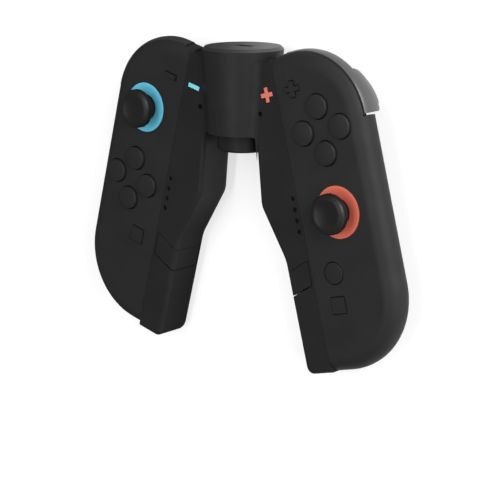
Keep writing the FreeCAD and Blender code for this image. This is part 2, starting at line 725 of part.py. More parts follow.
def top_waste():
    """What lies outside a strip's rounded top edge at the back, and over the fading hub blend there."""
    corner = rounding(GRIP_BACK_EDGE)
    foot = STRIP_TOP - GRIP_BACK_EDGE
    heel = GRIP_BACK_Z + GRIP_BACK_EDGE
    sheer = STRIP_TOP + LEAD
    half_y, half_z = on_dome(BLEND_FADE, FADE_TURN / 2)
    end_y, end_z = on_dome(BLEND_FADE, FADE_TURN)
    peak = GRIP_BACK_Z - BLEND_FADE + end_z
    points = [(sheer, heel), (STRIP_TOP, heel), (foot, GRIP_BACK_Z), (foot - end_y, peak),
              (foot - end_y, peak - LEAD), (sheer, peak - LEAD)]
    arcs = {
        1: (STRIP_TOP - corner, GRIP_BACK_Z + corner),
        2: (foot - half_y, GRIP_BACK_Z - BLEND_FADE + half_z),
    }
    bar = ring_profile(points, arcs).extrude(Vector(0, -SEAM, 0))
    bar.rotate(Vector(0, 0, 0), Vector(0, 0, 1), 90)
    return bar


def seam_waste():
    """What lies outside the rounded back edge of the plate along a controller, in the side frame."""
    corner = rounding(GRIP_SEAM_EDGE)
    foot = GRIP_SIDE - GRIP_SEAM_EDGE
    heel = GRIP_BACK_Z + GRIP_SEAM_EDGE
    sheer = GRIP_SIDE + LEAD
    points = [(foot, GRIP_BACK_Z), (GRIP_SIDE, heel), (sheer, heel), (sheer, GRIP_BACK_Z - LEAD),
              (foot, GRIP_BACK_Z - LEAD)]
    arcs = {0: (GRIP_SIDE - corner, GRIP_BACK_Z + corner)}
    return ring_profile(points, arcs).extrude(Vector(0, -BIG, 0))


def grip_plate():
    """Plate of the grip with soft edges, still square along the seams and the tops of the strips."""
    plate = prism(plate_corners(STRIP_TOP), GRIP_BACK_Z, FACE_Z)
    for z, radius in ((FACE_Z, GRIP_FACE_EDGE), (GRIP_BACK_Z, GRIP_BACK_EDGE)):
        rim = [edge for edge in level_edges(plate, z) if not on_seam(edge) and not on_top(edge)]
        plate = plate.makeFillet(radius, rim)
    return plate


def upright(solid):
    """Turned piece with its axis along Z, set along Y."""
    solid.rotate(Vector(0, 0, 0), Vector(1, 0, 0), -90)
    return solid


def hub_body():
    """Tapered hub under its cap."""
    return upright(turned([(0, HUB_FOOT_Y), (HUB_FOOT_R, HUB_FOOT_Y), (HUB_R, -CAP_BEVEL), (0, -CAP_BEVEL)]))


def hub_bore():
    """Round room inside the hub, with the hole in its foot for the neck."""
    floor = HUB_FOOT_Y + GRIP_WALL
    mouth = HUB_FOOT_Y - LEAD
    return upright(turned([(0, mouth), (PLUG_R + SEAT_GAP, mouth), (PLUG_R + SEAT_GAP, floor),
                           (HUB_BORE_R, floor), (HUB_BORE_R, -CAP_BEVEL), (0, -CAP_BEVEL)]))


def hub_cap():
    """Top disc of the hub with a bevelled rim and the slot for the charging port."""
    bore = HUB_BORE_R - SEAT_GAP
    spigot = -CAP_BEVEL - SPIGOT_DEPTH
    disc = upright(turned([(0, spigot), (bore, spigot), (bore, -CAP_BEVEL), (HUB_R, -CAP_BEVEL),
                           (HUB_R - CAP_BEVEL, 0), (0, 0)]))
    return disc.cut(port_block(SEAT_GAP, PORT_DEPTH, LEAD))


def port_block(grow, depth, rise):
    """Block with round ends in the shape of the charging port, along Y."""
    half = PORT_WIDTH / 2 + grow
    tall = PORT_HEIGHT / 2 + grow
    bend = tall - PORT_FLAT
    corners = [(half, tall, bend), (-half, tall, bend), (-half, -tall, bend), (half, -tall, bend)]
    return upright(prism(corners, -depth, rise))


def charging_port():
    """Metal shell of the port with its tongue."""
    shell = port_block(0, PORT_DEPTH, -PORT_SINK).cut(port_block(-PORT_SHELL, PORT_DEPTH - PORT_FLOOR, LEAD))
    tongue = box(-TONGUE_WIDTH / 2, TONGUE_WIDTH / 2, -PORT_DEPTH, -PORT_SINK - TONGUE_SINK,
                 -TONGUE_THICK / 2, TONGUE_THICK / 2)
    return shell.fuse(tongue)


def charge_board():
    """Round board in the hub that carries the charging port."""
    top = -PORT_DEPTH
    radius = HUB_BORE_R - 2 * SEAT_GAP
    return upright(rod(0, 0, top - CHARGE_BOARD_THICK, top, radius))


def neck_plug():
    """Hollow neck under the hub, held by a flange inside."""
    floor = HUB_FOOT_Y + GRIP_WALL
    wide = HUB_BORE_R - SEAT_GAP
    bore = PLUG_R - PLUG_WALL
    return upright(turned([(0, NECK_FOOT_Y), (PLUG_R - PLUG_BEVEL, NECK_FOOT_Y),
                           (PLUG_R, NECK_FOOT_Y + PLUG_BEVEL), (PLUG_R, floor), (wide, floor),
                           (wide, floor + PLUG_FLANGE), (bore, floor + PLUG_FLANGE),
                           (bore, NECK_FOOT_Y + PLUG_WALL), (0, NECK_FOOT_Y + PLUG_WALL)]))


def paddle_outline(gap):
    """Four corners of the paddle, shrunk by a gap at its slits."""
    far = HANDLE_IN - GRIP_BACK_EDGE
    slope_top = (PADDLE_TOP_OUT - PADDLE_TOP_IN) / (PADDLE_END - HANDLE_IN)
    slope_low = (PADDLE_LOW_OUT - PADDLE_LOW_IN) / (PADDLE_END - HANDLE_IN)
    run = PADDLE_END - gap - far
    top = PADDLE_TOP_OUT - gap
    low = PADDLE_LOW_OUT + gap
    return [(PADDLE_END - gap, top, 0), (far, top - slope_top * run, 0),
            (far, low - slope_low * run, 0), (PADDLE_END - gap, low, 0)]


def paddle_region(gap, low):
    """Room of a paddle: the inner side of the handle, and its front as far as the seam."""
    side_wall = GRIP_SIDE - GRIP_WALL
    whole = prism(paddle_outline(gap), low, BIG)
    under = box(side_wall - GRIP_WALL, BIG, -BIG, BIG, -BIG, GRIP_UNDER - RUN_GAP + gap)
    return whole.cut(under)


def paddle_pin(radius, reach):
    """Pin along the seam end of a paddle, standing out of both slits."""
    low = PADDLE_LOW_OUT - reach
    length = PADDLE_TOP_OUT + reach - low
    return Part.makeCylinder(radius, length, Vector(PADDLE_PIN_X, low, PADDLE_PIN_Z), Vector(0, 1, 0))


def connector_block(grow, reach):
    """Dock connector in the side frame."""
    half = DOCK_LENGTH / 2 + grow
    tall = DOCK_THICK / 2 + grow
    return box(GRIP_SIDE - DOCK_ROOT, GRIP_SIDE + reach, DOCK_Y - half, DOCK_Y + half,
               DOCK_Z - tall, DOCK_Z + tall)


def light_pins(radius, z0, z1):
    """Row of light dots through the front of a strip."""
    return [rod(LIGHT_X, LIGHT_Y - step * LIGHT_STEP, z0, z1, radius) for step in range(LIGHT_COUNT)]


def light_pipe():
    """Clear bar with one pin for each dot."""
    wall = GRIP_SIDE - GRIP_WALL
    last = LIGHT_Y - (LIGHT_COUNT - 1) * LIGHT_STEP
    bar = box(wall - 2 * LIGHT_BAR, wall - SEAT_GAP, last - LIGHT_MARGIN, LIGHT_Y + LIGHT_MARGIN,
              GRIP_UNDER - LIGHT_BAR, GRIP_UNDER)
    return bar.fuse(light_pins(LIGHT_R, GRIP_UNDER - LIGHT_BAR / 2, FACE_Z - LIGHT_SINK))


def screw_shape(grow):
    """Countersunk case screw with its axis along Z, head at the back."""
    low = GRIP_BACK_Z + SCREW_SINK
    return [(0, low), (SCREW_HEAD_R + grow, low), (SCREW_R + grow, low + SCREW_HEAD),
            (SCREW_R + grow, low + SCREW_LENGTH), (0, low + SCREW_LENGTH)]


def hub_blends(hub):
    """Hollow fillings that carry the hub over into the strips, front and back."""
    union = prism(plate_corners(STRIP_TOP), GRIP_BACK_Z, FACE_Z).fuse(hub).removeSplitter()
    blended = union
    for z in (FACE_Z, GRIP_BACK_Z):
        joints = [edge for edge in level_edges(blended, z) if type(edge.Curve).__name__ == "Hyperbola"]
        blended = blended.makeFillet(HUB_BLEND, joints)
    return blended.cut(union).Solids


def make_grip():
    """All pieces of the grip, upright, as a dictionary of name to solid."""
    hub = hub_body()
    waste = both_sides(top_waste()) + both_sides(seam_waste())
    plate = grip_plate().fuse(hub_blends(hub)).cut(waste)
    outer = plate.fuse(hub).removeSplitter()
    room = rounded_wire(plate_corners(STRIP_TOP - STRIP_LINING), GRIP_FLOOR)
    core = Part.Face(room).makeOffset2D(-GRIP_WALL)
    cavity = core.extrude(Vector(0, 0, GRIP_UNDER - GRIP_FLOOR)).fuse(hub_bore())
    shell = outer.cut(cavity)
    pieces = {}

    paddle_drop = (PADDLE_PIN_X - HANDLE_IN) * PADDLE_SINE
    paddle_room = paddle_region(0, PADDLE_LOW_Z - paddle_drop - RUN_GAP)
    sockets = paddle_pin(PADDLE_PIN_R + PIN_GAP, PADDLE_PIN_REACH + PIN_GAP)
    cuts = both_sides(paddle_room) + both_sides(sockets) + both_sides(connector_block(SEAT_GAP / 2, LEAD))
    for pin in light_pins(LIGHT_R + SEAT_GAP, GRIP_UNDER - LIGHT_BAR / 2 - SEAT_GAP, FACE_Z + LEAD):
        cuts += both_sides(pin)
    cuts += both_sides(rod(SENSOR_X, SENSOR_Y, 0, BIG, SENSOR_R))
    for side in ("left", "right"):
        mark = sharp(cross_outline(MARK_SIZE, MARK_ARM, MARK_X, MARK_Y, side == "right"))
        pieces[side + "_mark"] = to_side(raised(mark, FACE_Z - MARK_DEPTH, FACE_Z), side)
        cuts.append(to_side(raised(mark.makeOffset2D(SEAT_GAP / 2, join=2), FACE_Z - MARK_DEPTH, BIG), side))
        band = shell.common(to_side(paddle_region(RUN_GAP, PADDLE_LOW_Z), side))
        pieces[side + "_paddle"] = band.fuse(to_side(paddle_pin(PADDLE_PIN_R, PADDLE_PIN_REACH), side))
        pieces[side + "_dock_connector"] = to_side(connector_block(0, DOCK_REACH), side)
        pieces[side + "_light_pipe"] = to_side(light_pipe(), side)
        magnets = [box(GRIP_SIDE - GRIP_WALL - MAGNET_THICK, GRIP_SIDE - GRIP_WALL, y - MAGNET_LENGTH / 2,
                       y + MAGNET_LENGTH / 2, -MAGNET_HEIGHT / 2, MAGNET_HEIGHT / 2) for y in MAGNET_YS]
        pieces[side + "_dock_magnets"] = to_side(Part.makeCompound(magnets), side)
        middle_y = (PADDLE_TOP_IN + PADDLE_LOW_OUT) / 2
        switch_x = HANDLE_IN + GRIP_WALL + SWITCH_INSET
        switch_drop = (PADDLE_PIN_X - switch_x) * PADDLE_SINE
        switch = box(switch_x, switch_x + SWITCH_SIZE, middle_y - SWITCH_SIZE / 2, middle_y + SWITCH_SIZE / 2,
                     GRIP_FLOOR, GRIP_UNDER - switch_drop - SWITCH_GAP)
        pieces[side + "_paddle_switch"] = to_side(switch, side)

    bosses = []
    screws = []
    for x, y in SCREW_SEATS:
        bosses += both_sides(rod(x, y, GRIP_FLOOR, GRIP_UNDER, BOSS_R))
        seat = turned(screw_shape(0), x=x, y=y)
        screws += both_sides(seat)
        cuts += both_sides(turned(screw_shape(SEAT_GAP), x=x, y=y))
        cuts += both_sides(rod(x, y, GRIP_BACK_Z - LEAD, GRIP_BACK_Z + SCREW_SINK, SCREW_HEAD_R + SEAT_GAP))
    case = shell.fuse(bosses).cut(Part.makeCompound(cuts))
    pieces["front_case"] = case.common(box(-BIG, BIG, -BIG, BIG, 0, BIG))
    pieces["back_case"] = case.common(box(-BIG, BIG, -BIG, BIG, -BIG, 0))
    pieces["case_screws"] = Part.makeCompound(screws)
    pieces["hub_cap"] = hub_cap()
    pieces["charging_port"] = charging_port()
    pieces["charge_board"] = charge_board()
    pieces["neck_plug"] = neck_plug()
    return pieces


def rest_lean():
    """Tilt in degrees that lays the hub's back and the ends of the handles on one floor."""
    handle_y = out(HANDLE_IN, SIDE_LOW)[1] + HANDLE_CORNER
    return math.degrees(math.atan2(HUB_R + GRIP_BACK_Z, -CAP_BEVEL - handle_y))


def all_pieces():
    """Every piece, upright, under its node name."""
    pieces = {"grip_" + name if name.endswith("case") else name: solid for name, solid in make_grip().items()}
    for side in ("left", "right"):
        for name, solid in make_controller(side).items():
            pieces[side + "_" + name] = to_side(solid, side)
    return pieces


def lay_down(pieces):
    """Pieces on their back on the floor, with the middle of the footprint at the origin."""
    for solid in pieces.values():
        solid.rotate(Vector(0, 0, 0), Vector(1, 0, 0), rest_lean())
    room = Part.makeCompound(list(pieces.values())).optimalBoundingBox(False)
    shift = Vector(-room.Center.x, -room.Center.y, -room.ZMin)
    for solid in pieces.values():
        solid.translate(shift)
    return shift


PIECES = all_pieces()
SHIFT = lay_down(PIECES)
for node, solid in PIECES.items():
    solid.exportStep("parts/" + node + ".step")
print(len(PIECES), "pieces, lean", round(rest_lean(), 3), "shift", SHIFT)
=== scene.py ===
# %% [markdown]
# # A charging grip with its controllers docked
# The grip is a matt black A: a round hub on top, a strip down each side and two handles below.
# A controller hangs on each side. The solids come ready made at their real size, in metres, so this
# lesson never draws the main shapes again: it gives them soft edges, finishes, small metal parts and light.

# %% Load the solids
import json
import math

import bmesh
import bpy
from mathutils import Matrix, Vector


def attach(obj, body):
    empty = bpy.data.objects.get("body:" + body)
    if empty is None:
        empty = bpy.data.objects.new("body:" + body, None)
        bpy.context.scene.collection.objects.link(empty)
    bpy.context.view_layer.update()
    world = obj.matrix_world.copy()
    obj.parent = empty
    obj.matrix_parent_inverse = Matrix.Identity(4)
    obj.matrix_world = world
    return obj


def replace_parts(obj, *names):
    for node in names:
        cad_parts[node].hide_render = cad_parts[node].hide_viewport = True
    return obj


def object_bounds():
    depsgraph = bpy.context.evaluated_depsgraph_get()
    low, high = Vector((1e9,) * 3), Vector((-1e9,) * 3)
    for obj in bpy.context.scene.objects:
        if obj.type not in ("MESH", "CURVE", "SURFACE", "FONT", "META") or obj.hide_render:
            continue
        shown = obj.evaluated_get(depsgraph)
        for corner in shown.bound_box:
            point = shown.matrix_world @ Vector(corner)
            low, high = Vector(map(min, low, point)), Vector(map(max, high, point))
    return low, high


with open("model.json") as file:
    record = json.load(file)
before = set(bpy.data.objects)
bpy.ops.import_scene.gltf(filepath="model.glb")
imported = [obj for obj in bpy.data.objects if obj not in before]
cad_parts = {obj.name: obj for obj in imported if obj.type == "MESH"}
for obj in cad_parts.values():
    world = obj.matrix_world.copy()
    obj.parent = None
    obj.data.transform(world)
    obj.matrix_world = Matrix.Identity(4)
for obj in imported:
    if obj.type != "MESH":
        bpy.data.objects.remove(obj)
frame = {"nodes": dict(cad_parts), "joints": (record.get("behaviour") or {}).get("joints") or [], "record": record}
CAD_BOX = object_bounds()
NODES = frame["nodes"]
JOINTS = {joint["name"]: joint for joint in frame["joints"]}
MOUNTS = {mount["name"]: mount for mount in frame["record"]["mounts"]}
SLOT_OF = {piece["node"]: piece["material_slot"] for piece in frame["record"]["subparts"]}
SIDES = ("left", "right")

# %% [markdown]
# ## Directions that belong to the grip
# The grip lies on its back and leans a little, so the room's axes are no use for placing things on it.
# We could type in the angles, but the joints already know them: a face button travels straight into the
# front, and a controller is pulled straight out to its side. The other directions are cross products.

# %% Find front, up and right from the joints


def joint_axis(name, sign=1):
    """Direction of a joint's travel or pin."""
    return (Vector(JOINTS[name]["axis"]) * sign).normalized()


FRONT = joint_axis("right_top_button_press", -1)
OUT = {side: joint_axis(side + "_controller_pull") for side in SIDES}
ALONG = {"left": OUT["left"].cross(FRONT), "right": FRONT.cross(OUT["right"])}
UP = (ALONG["left"] + ALONG["right"]).normalized()
RIGHT = UP.cross(FRONT)


def reach(node, axis):
    """Lowest and highest measure of a solid along a direction."""
    heights = [axis.dot(vertex.co) for vertex in NODES[node].data.vertices]
    return min(heights), max(heights)


PORT = Vector(MOUNTS["charging_port"]["pos_m"])
HUB_TOP = PORT + UP * (reach("hub_cap", UP)[1] - UP.dot(PORT))


def hub_point(right, up, front):
    """Point measured in metres from the middle of the hub's top."""
    return HUB_TOP + RIGHT * right + UP * up + FRONT * front


lean = math.degrees(UP.angle((0, 1, 0)))
print("hub top at", [round(c, 4) for c in HUB_TOP], "leaning", round(lean, 2), "degrees")

# %% [markdown]
# ## Wiring nodes
# Each finish, the floor and the room are small networks of nodes. They could be drawn with the mouse in
# the shader editor, and a script could wire them one by one, but the same few moves keep coming back. So
# one class holds them: add a node, link two sockets, carry a value to another range, tell rays apart.

# %% Short ways to wire nodes


class Nodes:
    """A node tree with a few short ways to build in it."""

    def __init__(self, tree):
        self.tree = tree

    def add(self, kind, **settings):
        """New node with its settings and socket values."""
        node = self.tree.nodes.new(kind)
        for key, value in settings.items():
            if key in node.inputs:
                node.inputs[key].default_value = value
            else:
                setattr(node, key, value)
        return node

    def link(self, source, target):
        """Wire from an output to an input."""
        self.tree.links.new(source, target)

    def fit(self, value, source, target, **settings):
        """Value carried from one range to another and held at its ends."""
        node = self.add("ShaderNodeMapRange", **settings)
        for socket, limit in zip(("From Min", "From Max", "To Min", "To Max"), (*source, *target)):
            node.inputs[socket].default_value = limit
        self.link(value, node.inputs["Value"])
        return node.outputs["Result"]

    def along(self, place, direction):
        """How far a place lies along a direction."""
        node = self.add("ShaderNodeVectorMath", operation="DOT_PRODUCT")
        node.inputs[1].default_value = direction
        self.link(place, node.inputs[0])
        return node.outputs["Value"]

    def to_lens(self):
        """1 for a ray that goes straight to the lens, 0 for any other."""
        return self.add("ShaderNodeLightPath").outputs["Is Camera Ray"]

    def by_mirror(self):
        """1 for a ray that comes by way of a mirror or through glass, 0 for any other."""
        ray = self.add("ShaderNodeLightPath")
        either = self.add("ShaderNodeMath", operation="MAXIMUM")
        self.link(ray.outputs["Is Glossy Ray"], either.inputs[0])
        self.link(ray.outputs["Is Transmission Ray"], either.inputs[1])
        return either.outputs["Value"]


print("node helpers:", [name for name in vars(Nodes) if not name.startswith("_")])

# %% [markdown]
# ## Moulded plastic
# Nearly everything here is injection moulded. Such plastic is never one flat colour: the mould is
# spark eroded, so its skin is a field of tiny pits, and the pigment and the gloss drift a little from
# place to place. We could scan a surface for an image, but three noise textures at different scales do
# it at any distance: a slow one for colour, a middle one for gloss and a fine one for the pits.

# %% What a finish can do
NOISE_SPAN = (0.3, 0.7)   # most of a noise texture's values lie between these


class Finish(Nodes):
    """A material on the standard shader, with noise to drive it."""

    def __init__(self, name, **sockets):
        self.material = bpy.data.materials.new(name)
        self.material.use_nodes = True
        super().__init__(self.material.node_tree)
        self.shader = self.tree.nodes["Principled BSDF"]
        self.place = self.add("ShaderNodeTexCoord").outputs["Object"]
        for socket, value in sockets.items():
            self.shader.inputs[socket.replace("_", " ")].default_value = value

    def noise(self, ripples, detail=3.0, stretch=(1, 1, 1)):
        """Noise in the grip's own space, with so many ripples in a metre."""
        spread = self.add("ShaderNodeMapping", Scale=stretch)
        self.link(self.place, spread.inputs["Vector"])
        node = self.add("ShaderNodeTexNoise", Scale=ripples, Detail=detail)
        self.link(spread.outputs["Vector"], node.inputs["Vector"])
        return node.outputs["Fac"]

    def ramp(self, value, *colours):
        """Colours spread evenly over the span of a noise."""
        low, high = NOISE_SPAN
        node = self.add("ShaderNodeValToRGB")
        stops = node.color_ramp.elements
        for index, colour in enumerate(colours):
            spot = low + (high - low) * index / (len(colours) - 1)
            stop = stops[index] if index < len(stops) else stops.new(spot)
            stop.position = spot
            stop.color = (*colour, 1)
        self.link(value, node.inputs["Fac"])
        return node.outputs["Color"]

    def spread(self, value, low, high):
        """Noise carried to the range of a socket such as roughness."""
        return self.fit(value, NOISE_SPAN, (low, high))

    def colour(self, source):
        """Output that gives the colour."""
        self.link(source, self.shader.inputs["Base Color"])

    def roughness(self, source):
        """Output that gives the roughness."""
        self.link(source, self.shader.inputs["Roughness"])

    def bump(self, height, depth, strength):
        """Relief of a given depth in metres."""
        node = self.add("ShaderNodeBump", Strength=strength, Distance=depth)
        self.link(height, node.inputs["Height"])
        self.link(node.outputs["Normal"], self.shader.inputs["Normal"])


print("finish helpers:", [name for name in vars(Finish) if not name.startswith("_")])

# %% The moulded plastic itself
COLOUR_RIPPLES = 60
GLOSS_RIPPLES = 220
GLOSS_DRIFT = 0.05
PIT_DETAIL = 2.0
PIT_DEPTH = 0.00002
PIT_STRENGTH = 0.35


def shade(colour, factor):
    """Colour made lighter or darker."""
    return tuple(channel * factor for channel in colour)


def moulded_plastic(name, colour, rough, grain, drift=0.12, **sockets):
    """Spark eroded plastic: rough is its mean roughness, grain the number of pits in a metre."""
    finish = Finish(name, **sockets)
    pigment = (shade(colour, 1 - drift), colour, shade(colour, 1 + drift))
    finish.colour(finish.ramp(finish.noise(COLOUR_RIPPLES), *pigment))
    gloss = finish.noise(GLOSS_RIPPLES)
    finish.roughness(finish.spread(gloss, rough - GLOSS_DRIFT, rough + GLOSS_DRIFT))
    finish.bump(finish.noise(grain, PIT_DETAIL), PIT_DEPTH, PIT_STRENGTH)
    return finish.material


# %% [markdown]
# ## The plastics of this grip
# The grip's shells are charcoal and dull. The controllers' shells are a shade lighter and duller still, and
# their buttons have the same tone but are smoother. Shoulder buttons and triggers are glossy. The stick
# rings are satin blue and orange, and the marks on the strips are paler tints of those two. We could copy
# one material and repaint it each time, but a table of recipes shows at a glance what differs.

# %% Mix the plastics
CHARCOAL = (0.0105, 0.0105, 0.0108)
SOOT = (0.0136, 0.0136, 0.0139)
JET = (0.0075, 0.0075, 0.0078)
SLATE = (0.05, 0.05, 0.052)
ASH = (0.09, 0.09, 0.095)
BLUE = (0.105, 0.44, 0.60)
ORANGE = (0.51, 0.108, 0.07)
PALE_BLUE = (0.20, 0.63, 0.77)
PALE_ORANGE = (0.566, 0.145, 0.105)

DULL = {"Specular_IOR_Level": 0.25}
SATIN = {"rough": 0.48, "grain": 5000, "drift": 0.06, "Specular_IOR_Level": 0.35}

PLASTICS = {
    "grip_shell": dict(colour=CHARCOAL, rough=0.5, grain=3600, **DULL),
    "controller_shell": dict(colour=SOOT, rough=0.58, grain=4200, **DULL),
    "hub_top": dict(colour=CHARCOAL, rough=0.42, grain=3600, Specular_IOR_Level=0.9),
    "neck": dict(colour=JET, rough=0.5, grain=3600, **DULL),
    "button": dict(colour=SOOT, rough=0.48, grain=5000, **DULL),
    "lever": dict(colour=SOOT, rough=0.36, grain=5000, Specular_IOR_Level=1.0, IOR=1.62),
    "dock": dict(colour=SLATE, rough=0.5, grain=4000),
    "mechanism": dict(colour=ASH, rough=0.4, grain=4000),
    "blue_trim": dict(colour=BLUE, **SATIN),
    "orange_trim": dict(colour=ORANGE, **SATIN),
    "blue_mark": dict(colour=PALE_BLUE, **SATIN),
    "orange_mark": dict(colour=PALE_ORANGE, **SATIN),
}
FINISHES = {name: moulded_plastic(name, **recipe) for name, recipe in PLASTICS.items()}
print(len(FINISHES), "plastics")

# %% [markdown]
# ## Rubber, metal and what is inside
# Not everything is plain plastic. The stick caps are rubber, pebbled and a little warm. Screws, contacts and
# magnets are plated steel with fine lines. A smoky window covers the charge lights, and inside are green
# boards and cells in silver film. Each could borrow the plastic's recipe, but what makes it itself, such as
# lines, tracks or creases, needs its own pattern, so each has a short function.

# %% Mix the other finishes
RUBBER = ((0.0045, 0.004, 0.0038), (0.006, 0.0054, 0.005))
STEEL = ((0.46, 0.46, 0.47), (0.62, 0.62, 0.64))
SMOKE = ((0.002, 0.002, 0.0024), (0.004, 0.004, 0.0046))
FILM = ((0.22, 0.23, 0.25), (0.34, 0.35, 0.37))
LACQUER = {
    "Color1": (0.012, 0.085, 0.035, 1),
    "Color2": (0.016, 0.10, 0.042, 1),
    "Mortar": (0.05, 0.17, 0.07, 1),
}


def stick_rubber():
    """Dull warm rubber with a fine pebble."""
    finish = Finish("stick_rubber", Specular_IOR_Level=0.45)
    finish.colour(finish.ramp(finish.noise(ripples=180), *RUBBER))
    finish.roughness(finish.spread(finish.noise(ripples=500), low=0.4, high=0.5))
    finish.bump(finish.noise(ripples=5200, detail=1.0), depth=0.00004, strength=0.5)
    return finish.material


def bare_metal():
    """Plated steel with fine lines along one direction."""
    finish = Finish("bare_metal", Metallic=1.0)
    lines = finish.noise(ripples=900, detail=4.0, stretch=(1, 1, 14))
    finish.colour(finish.ramp(lines, *STEEL))
    finish.roughness(finish.spread(lines, low=0.25, high=0.42))
    return finish.material


def smoky_window():
    """Dark clear plastic over the charge lights, which are off."""
    finish = Finish("smoky_window", Specular_IOR_Level=0.15)
    finish.colour(finish.ramp(finish.noise(ripples=800), *SMOKE))
    finish.roughness(finish.spread(finish.noise(ripples=400), low=0.35, high=0.5))
    return finish.material


def circuit_board():
    """Green lacquer over copper tracks, drawn by a brick pattern."""
    finish = Finish("circuit_board", Specular_IOR_Level=0.5)
    tracks = finish.add("ShaderNodeTexBrick", Scale=350.0, offset=0.4, **LACQUER)
    finish.link(finish.place, tracks.inputs["Vector"])
    finish.colour(tracks.outputs["Color"])
    finish.roughness(finish.spread(finish.noise(ripples=300), low=0.3, high=0.45))
    return finish.material


def wrapped_cell():
    """Silver film round the battery cell, creased a little."""
    finish = Finish("wrapped_cell", Metallic=0.6)
    creases = finish.noise(ripples=140, detail=6.0)
    finish.colour(finish.ramp(creases, *FILM))
    finish.roughness(finish.spread(creases, low=0.3, high=0.5))
    finish.bump(creases, depth=0.0001, strength=0.4)
    return finish.material


FINISHES["stick_rubber"] = stick_rubber()
FINISHES["metal"] = bare_metal()
FINISHES["light"] = smoky_window()
FINISHES["board"] = circuit_board()
FINISHES["battery"] = wrapped_cell()
print(len(FINISHES), "finishes with those")

# %% [markdown]
# ## Dressing the solids
# Each solid already says which material slot it belongs to, as a parts list names the stuff of each piece.
# We could assign materials by hand, solid by solid, but the slot's name is the finish's name, so one loop
# does it. Only the marks differ: they share a slot with the rings, and on the real grip they are paler.

# %% Give every solid its finish
MARKS = {"left_mark": "blue_mark", "right_mark": "orange_mark"}

for node, solid in NODES.items():
    solid.data.materials.clear()
    solid.data.materials.append(FINISHES[MARKS.get(node, SLOT_OF[node])])
print("finished", len(NODES), "solids")

# %% [markdown]
# ## Edges that catch the light
# A solid from a drawing has corners as sharp as a razor, and no moulding has. We could model a rounding
# on every edge, but a bevel modifier does it without touching the solid. The imported mesh is cut open
# along its hard edges, so a weld comes first, and weighted normals last, to keep the flats flat.

# %% Soften the hard edges
EDGE_WIDTH = 0.00012
EDGE_STEPS = 2
EDGE_ANGLE = math.radians(50)
WELD_REACH = 1e-7
SOFT_ENDS = ("_button", "_mark", "_paddle", "charging_port", "neck_plug")


def soften(solid):
    """Small rounding on the hard edges of a solid."""
    weld = solid.modifiers.new("weld", "WELD")
    weld.merge_threshold = WELD_REACH
    bevel = solid.modifiers.new("edges", "BEVEL")
    bevel.width = EDGE_WIDTH
    bevel.segments = EDGE_STEPS
    bevel.limit_method = "ANGLE"
    bevel.angle_limit = EDGE_ANGLE
    level = solid.modifiers.new("flats", "WEIGHTED_NORMAL")
    level.keep_sharp = True


for node, solid in NODES.items():
    if node.endswith(SOFT_ENDS):
        soften(solid)
print("softened", sum(len(solid.modifiers) > 0 for solid in NODES.values()), "solids")

# %% [markdown]
# ## New meshes
# A few small metal parts are drawn here: screws and contacts. Blender's ready-made cylinders could be
# scaled and joined, but they bring no control over how the faces run. So vertices are laid in loops and
# the loops are joined by bands of faces, which is how a lathe or a press would see the part.

# %% Helpers for new meshes
SMOOTH_BEND = math.radians(30)


def mesh_piece(name, mesh, body, slot):
    """New object from a finished bmesh, riding on a body, smooth where it bends only a little."""
    bmesh.ops.recalc_face_normals(mesh, faces=mesh.faces)
    data = bpy.data.meshes.new(name)
    mesh.to_mesh(data)
    mesh.free()
    data.shade_smooth()
    data.set_sharp_from_angle(angle=SMOOTH_BEND)
    data.materials.append(FINISHES[slot])
    piece = bpy.data.objects.new(name, data)
    bpy.context.scene.collection.objects.link(piece)
    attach(piece, body)
    print(name, "has", len(data.polygons), "faces")
    return piece


def axes(right, up, front, spot):
    """Matrix from measures along three directions, from a spot, to the room."""
    return Matrix.Translation(spot) @ Matrix((right, up, front)).transposed().to_4x4()


def ring_of(mesh, place, radius, height, count):
    """Loop of new vertices round the third axis."""
    turns = [2 * math.pi * step / count for step in range(count)]
    spots = [Vector((radius * math.cos(turn), radius * math.sin(turn), height)) for turn in turns]
    return [mesh.verts.new(place @ spot) for spot in spots]


def walls(mesh, low, high):
    """Band of faces between two loops with the same count."""
    for index in range(len(low)):
        after = (index + 1) % len(low)
        mesh.faces.new((low[index], low[after], high[after], high[index]))


def edges_round(mesh, loop):
    """Edges that close a loop of vertices."""
    pairs = [(loop[index - 1], loop[index]) for index in range(len(loop))]
    return [mesh.edges.get(pair) or mesh.edges.new(pair) for pair in pairs]


print("mesh helpers ready, smooth below", round(math.degrees(SMOOTH_BEND)), "degrees")

# %% [markdown]
# ## Case screws
# Four countersunk screws hold the two halves of the grip together, sunk into the back. The solids are
# plain cones, and a screw is known by its cross. We could cut the cross with a boolean, but one outline
# filled round a hole, pulled down and drawn together, gives the same recess with clean faces.

# %% One screw
CROSS_REACH = 0.6    # shares of the head's radius
CROSS_ARM = 0.17
HEAD_LIP = 0.06
CROSS_DRAW = 0.62    # size of the recess's floor, as a share of its mouth
CROSS_DEPTH = 0.0009
SCREW_SIDES = 48
THREAD_TURNS = 9
THREAD = ((0.5, 0.78), (1.0, 1.0))   # valley and crest: shares of a turn and of the shank's radius
LEVEL_SLACK = 1e-6   # how far apart in height two vertices of one flat may be


def cross_loop(mesh, place, radius, height):
    """Loop of the twelve corners of a cross."""
    tip = radius * CROSS_REACH
    arm = radius * CROSS_ARM
    quarter = [(tip, -arm), (tip, arm), (arm, arm)]
    loop = []
    for turn in range(4):
        for x, y in quarter:
            spin = Matrix.Rotation(turn * math.pi / 2, 3, "Z") @ Vector((x, y, height))
            loop.append(mesh.verts.new(place @ spin))
    return loop


